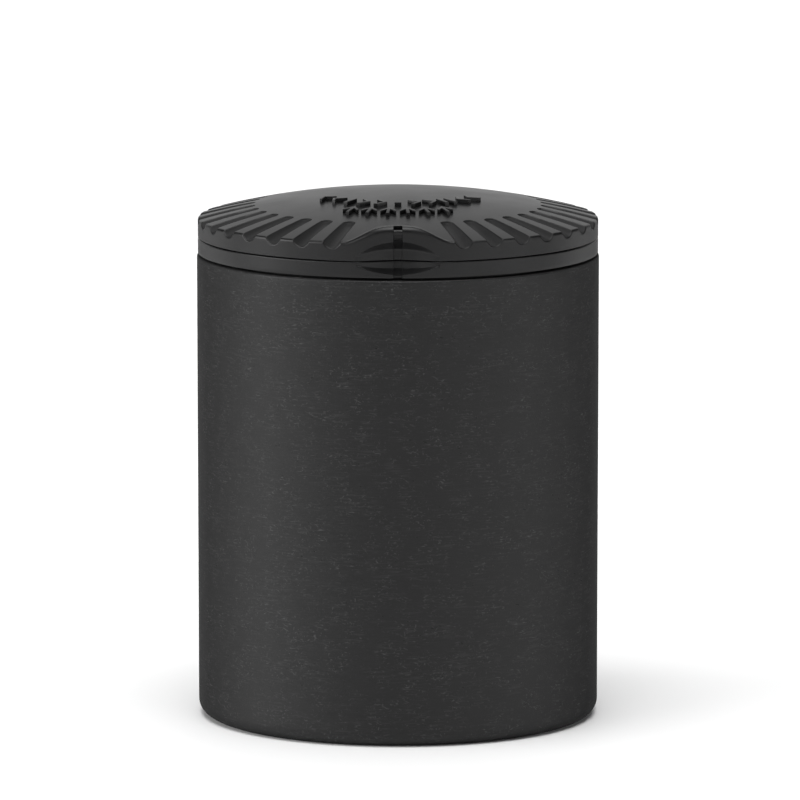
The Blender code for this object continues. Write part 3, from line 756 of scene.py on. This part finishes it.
class Nodes:
    """A short way to write the nodes of a material or of the studio's light."""

    def __init__(self, owner, shader="Principled BSDF"):
        owner.use_nodes = True
        self.material = owner
        self.tree = owner.node_tree
        self.shader = self.tree.nodes[shader]

    def add(self, kind, inputs=None, **settings):
        node = self.tree.nodes.new("ShaderNode" + kind)
        for key, value in settings.items():
            setattr(node, key, value)
        for key, value in (inputs or {}).items():
            if isinstance(value, bpy.types.NodeSocket):
                self.tree.links.new(value, node.inputs[key])
            else:
                node.inputs[key].default_value = value
        return node

    def math(self, operation, a, b):
        return self.add("Math", {0: a, 1: b}, operation=operation).outputs[0]

    def range(self, value, low, high, to_low=0.0, to_high=1.0, smooth=False):
        kind = "SMOOTHSTEP" if smooth else "LINEAR"
        node = self.add("MapRange", {"Value": value, "From Min": low, "From Max": high,
                                     "To Min": to_low, "To Max": to_high},
                        interpolation_type=kind, clamp=True)
        return node.outputs["Result"]

    def vector(self, x, y, z):
        return self.add("CombineXYZ", {"X": x, "Y": y, "Z": z}).outputs[0]

    def noise(self, vector, scale, detail=2.0, roughness=0.5):
        node = self.add("TexNoise", {"Vector": vector, "Scale": scale, "Detail": detail,
                                     "Roughness": roughness})
        return node.outputs["Fac"]

    def mix(self, factor, a, b):
        node = self.add("Mix", {"Factor": factor}, data_type="RGBA")
        for key, value in ((6, a), (7, b)):
            if isinstance(value, bpy.types.NodeSocket):
                self.tree.links.new(value, node.inputs[key])
            else:
                node.inputs[key].default_value = (*value, 1.0)
        return node.outputs[2]

    def bump(self, height, distance, normal=None):
        inputs = {"Height": height, "Distance": distance}
        if normal:
            inputs["Normal"] = normal
        return self.add("Bump", inputs).outputs["Normal"]

    def link(self, key, socket):
        self.tree.links.new(socket, self.shader.inputs[key])

    def set(self, key, value):
        self.shader.inputs[key].default_value = value


def wrapped_coordinates(nodes):
    """Distance round the jar, and height, in millimetres: the lie of the moulded fibres."""
    place = nodes.add("TexCoord").outputs["Object"]
    split = nodes.add("SeparateXYZ", {0: place})
    x, y, z = split.outputs[0], split.outputs[1], split.outputs[2]
    turn = nodes.math("ARCTAN2", x, nodes.math("MULTIPLY", y, -1.0))
    around = nodes.math("MULTIPLY", turn, BODY_RADIUS / MM)
    return place, around, nodes.math("MULTIPLY", z, 1.0 / MM)


def flecks(nodes, around, up, turn, length, width, seed, low, high):
    """Short fibres that lie at a turn from level: 1 on a fibre, 0 off it."""
    a = math.radians(turn)
    along = nodes.math("ADD", nodes.math("MULTIPLY", around, math.cos(a)),
                       nodes.math("MULTIPLY", up, math.sin(a)))
    over = nodes.math("SUBTRACT", nodes.math("MULTIPLY", up, math.cos(a)),
                      nodes.math("MULTIPLY", around, math.sin(a)))
    place = nodes.vector(nodes.math("MULTIPLY", along, 1.0 / length),
                         nodes.math("MULTIPLY", over, 1.0 / width), seed)
    return nodes.range(nodes.noise(place, 1.0, 1.0), low, high, smooth=True)


def jar_material():
    """Dark fibre-filled composite: pale fibres, dark pits and a faint level streak."""
    nodes = Nodes(bpy.data.materials.new("jar_composite"))
    place, around, up = wrapped_coordinates(nodes)
    fibres = flecks(nodes, around, up, *FIBRES[0])
    for family in FIBRES[1:]:
        fibres = nodes.math("MAXIMUM", fibres, flecks(nodes, around, up, *family))
    ripple = flecks(nodes, around, up, *RIPPLE)
    fibres = nodes.math("MAXIMUM", fibres, nodes.math("MULTIPLY", ripple, RIPPLE_SHARE))
    pits = flecks(nodes, around, up, *PITS)
    streak = nodes.noise(nodes.vector(nodes.math("MULTIPLY", around, 0.25), up, 5.5), 1.4, 3.0)
    cloud = nodes.noise(place, 90.0, 3.0)
    base = nodes.mix(nodes.range(streak, 0.3, 0.7), JAR_DARK, JAR_LIGHT)
    base = nodes.mix(nodes.range(cloud, 0.35, 0.65), base, JAR_CLOUD)
    strength = nodes.range(nodes.noise(place, 330.0, 2.0), 0.4, 0.62, 0.12, 1.0)
    shown = nodes.math("MULTIPLY", fibres, strength)
    base = nodes.mix(shown, base, FIBRE_COLOUR)
    base = nodes.mix(pits, base, PIT_COLOUR)
    nodes.link("Base Color", base)
    facing = nodes.add("LayerWeight", {"Blend": 0.5}).outputs["Facing"]
    satin = nodes.range(facing, 0.25, 0.7, 0.4, 0.97)
    nodes.link("Roughness", nodes.math("ADD", satin, nodes.range(streak, 0.3, 0.7, -0.02, 0.05)))
    grain = nodes.noise(place, 3200.0, 3.0, 0.6)
    relief = nodes.math("ADD", nodes.math("MULTIPLY", fibres, 0.5), nodes.math("MULTIPLY", pits, -1.6))
    normal = nodes.bump(grain, 0.012 * MM)
    nodes.link("Normal", nodes.bump(relief, 0.02 * MM, normal=normal))
    nodes.set("Specular IOR Level", JAR_GLOSS)
    return nodes.material


def lid_material(name, gloss, dark, light):
    """Satin black plastic with a faint moulded grain, duller where an upright wall turns away."""
    nodes = Nodes(bpy.data.materials.new(name))
    place = nodes.add("TexCoord").outputs["Object"]
    cloud = nodes.noise(place, 160.0, 4.0)
    fine = nodes.noise(place, 5200.0, 2.0, 0.6)
    base = nodes.mix(nodes.range(cloud, 0.35, 0.65), dark, light)
    nodes.link("Base Color", base)
    satin = nodes.range(cloud, 0.3, 0.7, 0.31, 0.36)
    upward = nodes.add("SeparateXYZ", {0: nodes.add("NewGeometry").outputs["Normal"]}).outputs[2]
    wall = nodes.range(upward, 0.2, 0.5, 1.0, 0.0)
    facing = nodes.add("LayerWeight", {"Blend": 0.5}).outputs["Facing"]
    dulled = nodes.math("MULTIPLY", wall, nodes.range(facing, 0.45, 0.8, 0.0, 0.27))
    nodes.link("Roughness", nodes.math("ADD", satin, dulled))
    nodes.link("Normal", nodes.bump(fine, 0.006 * MM))
    nodes.set("Specular IOR Level", gloss)
    return nodes.material


def seal_material():
    """Soft dark grey silicone rubber with a dusty bloom."""
    nodes = Nodes(bpy.data.materials.new("seal_rubber"))
    place = nodes.add("TexCoord").outputs["Object"]
    bloom = nodes.noise(place, 260.0, 4.0)
    base = nodes.mix(nodes.range(bloom, 0.35, 0.7), SEAL_DARK, SEAL_LIGHT)
    nodes.link("Base Color", base)
    nodes.link("Roughness", nodes.range(bloom, 0.3, 0.7, 0.62, 0.78))
    nodes.link("Normal", nodes.bump(nodes.noise(place, 2600.0, 2.0), 0.008 * MM))
    nodes.set("Specular IOR Level", SEAL_GLOSS)
    return nodes.material


def floor_material():
    nodes = Nodes(bpy.data.materials.new("pale_floor"))
    nodes.set("Base Color", FLOOR_COLOUR)
    nodes.set("Roughness", 0.6)
    nodes.set("Specular IOR Level", FLOOR_GLOSS)
    return nodes.material


def dress(piece, material, body, node):
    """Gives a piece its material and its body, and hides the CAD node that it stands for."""
    piece.data.materials.clear()
    piece.data.materials.append(material)
    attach(piece, body)
    if node:
        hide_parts(node)


def make_floor():
    bm = bmesh.new()
    bmesh.ops.create_circle(bm, cap_ends=True, segments=96, radius=FLOOR_RADIUS)
    floor = finish_mesh(bm, "floor")
    floor.data.materials.append(floor_material())


def soft_box(nodes, direction, azimuth, elevation, half_angle, strength):
    """A round patch of light with a soft edge, far away in the given direction, in degrees."""
    turn, rise = math.radians(azimuth), math.radians(elevation)
    centre = (math.sin(turn) * math.cos(rise), -math.cos(turn) * math.cos(rise), math.sin(rise))
    near = nodes.add("VectorMath", {0: direction, 1: centre}, operation="DOT_PRODUCT")
    outer, inner = (math.cos(math.radians(half_angle * share)) for share in (1.2, 0.8))
    return nodes.range(near.outputs["Value"], outer, inner, 0.0, strength, smooth=True)


def make_lights():
    """A studio of soft boxes round a white sweep, as one procedural surround."""
    world = bpy.data.worlds.new("studio")
    nodes = Nodes(world, "Background")
    direction = nodes.add("TexCoord").outputs["Generated"]
    total = 0.0
    for box in SOFT_BOXES:
        total = nodes.math("ADD", soft_box(nodes, direction, *box), total)
    nodes.set("Color", (1.0, 1.0, 1.0, 1.0))
    nodes.link("Strength", total)
    bpy.context.scene.world = world
    bpy.context.scene.view_settings.view_transform = "Standard"


def make_camera():
    data = bpy.data.cameras.new("camera")
    data.lens = CAMERA_LENS
    data.sensor_width = CAMERA_SENSOR
    data.clip_start = 0.01
    data.clip_end = 20.0
    camera = bpy.data.objects.new("camera", data)
    camera.location = (CAMERA_ACROSS, -CAMERA_DISTANCE, CAMERA_HEIGHT)
    camera.rotation_euler = (math.pi / 2 - CAMERA_PITCH, 0.0, 0.0)
    bpy.context.scene.collection.objects.link(camera)
    bpy.context.scene.camera = camera


make_camera()
make_lights()
make_floor()
lid_plastic = lid_material("lid_plastic", LID_GLOSS, LID_DARK, LID_LIGHT)
# A duller copy of the lid plastic, painted shade for the groove floors.
groove_shade_plastic = lid_material("groove_shade_plastic", GROOVE_SHADE_GLOSS, GROOVE_SHADE_DARK, GROOVE_SHADE_LIGHT)
seal_rubber = seal_material()
dress(make_jar(), jar_material(), "jar", "jar_shell")
dress(make_collar(), lid_plastic, "jar", "lock_collar")
dress(make_collar_seal(), seal_rubber, "jar", "collar_seal")
dress(make_lid_seal(), seal_rubber, "seal", "lid_seal")
cap_body = make_cap()
dress(cap_body, lid_plastic, "cap", "cap")
# Painted shade on the groove floors.
paint_groove_shade(cap_body, groove_shade_plastic)
dress(make_pictograms(), lid_plastic, "cap", None)
